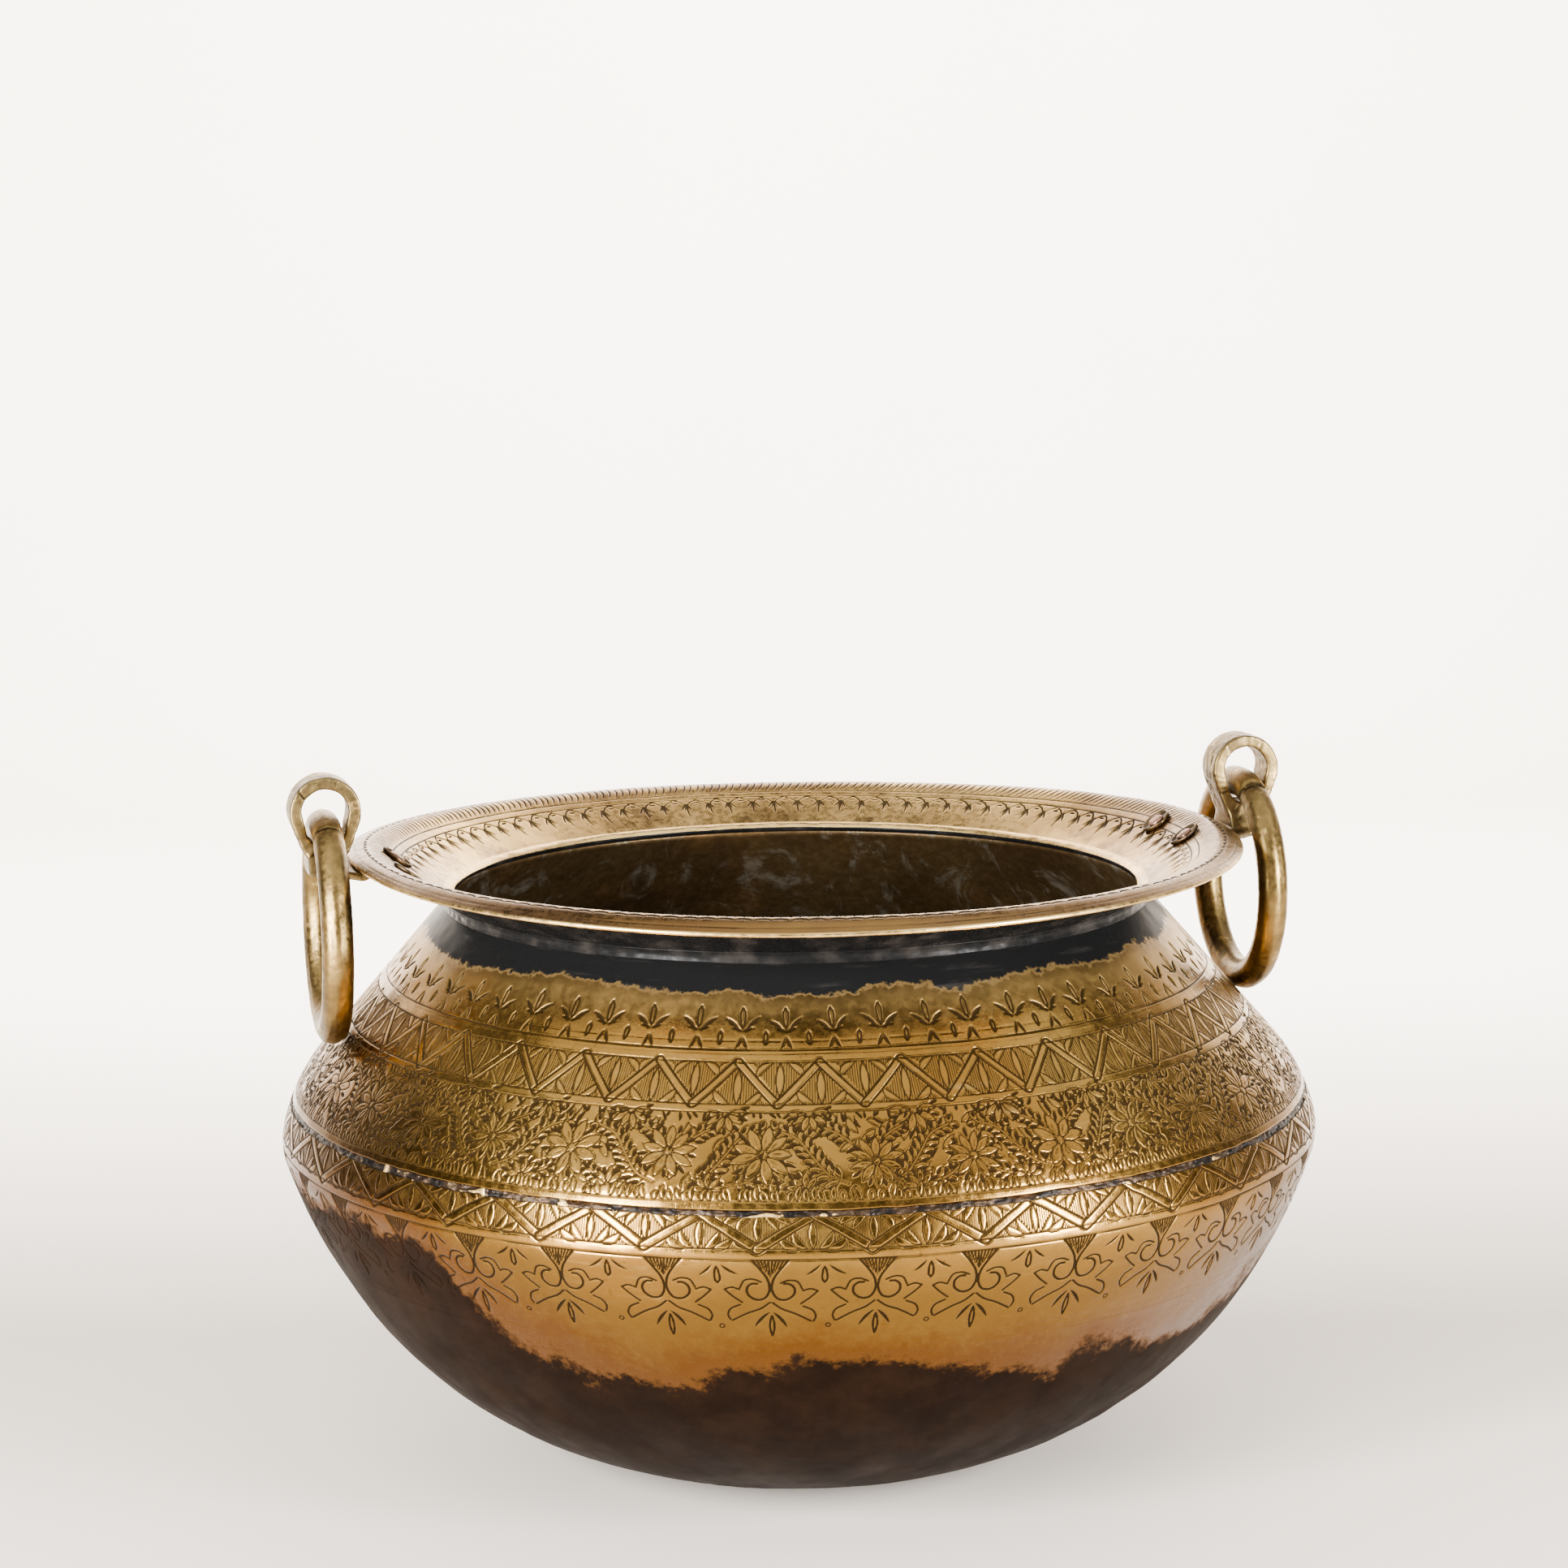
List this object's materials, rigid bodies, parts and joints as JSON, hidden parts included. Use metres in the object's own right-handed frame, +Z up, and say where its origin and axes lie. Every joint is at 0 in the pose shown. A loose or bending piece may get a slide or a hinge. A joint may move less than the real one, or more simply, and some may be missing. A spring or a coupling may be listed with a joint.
{
  "type": "brass urli bowl",
  "caption": "Deep beaten brass vessel with a funnel rim, engraved bands and two swinging ring handles, for cooking, water or floating flowers.",
  "frame": {"origin": "centre of the base, on the surface the vessel stands on", "axes": "+Z up along the vessel's axis of revolution, +X towards the right-hand handle, -Y towards the front"},
  "size_m": [0.5016, 0.5016, 0.338],
  "materials": {
    "engraved_brass": "aged, satin, dark in the engraving",
    "rim_brass": "worn satin",
    "cast_brass": "aged, rough cast",
    "forged_brass": "aged, hand forged",
    "braze": "dark, blackened",
    "copper": "dull copper",
    "rove_brass": "aged, dull"
  },
  "bodies": {
    "vessel": {"lower_bowl": "engraved_brass", "upper_shoulder": "engraved_brass", "rim_flange": "rim_brass", "belly_seam_braze": "braze", "neck_seam_braze": "braze", "left_handle_lug": "cast_brass", "right_handle_lug": "cast_brass", "left_front_rivet": "copper", "left_rear_rivet": "copper", "right_front_rivet": "copper", "right_rear_rivet": "copper", "left_front_rove": "rove_brass", "left_rear_rove": "rove_brass", "right_front_rove": "rove_brass", "right_rear_rove": "rove_brass"},
    "left_ring": {"left_handle_ring": "forged_brass"},
    "right_ring": {"right_handle_ring": "forged_brass"}
  },
  "joints": [
    {"name": "left_ring_swing", "type": "hinge", "parent": "vessel", "child": "left_ring", "pos_m": [-0.227, 0, 0.31355], "axis": [0, 1, 0], "range_deg": [0, 280]},
    {"name": "right_ring_swing", "type": "hinge", "parent": "vessel", "child": "right_ring", "pos_m": [0.227, 0, 0.31355], "axis": [0, -1, 0], "range_deg": [0, 280]}
  ]
}
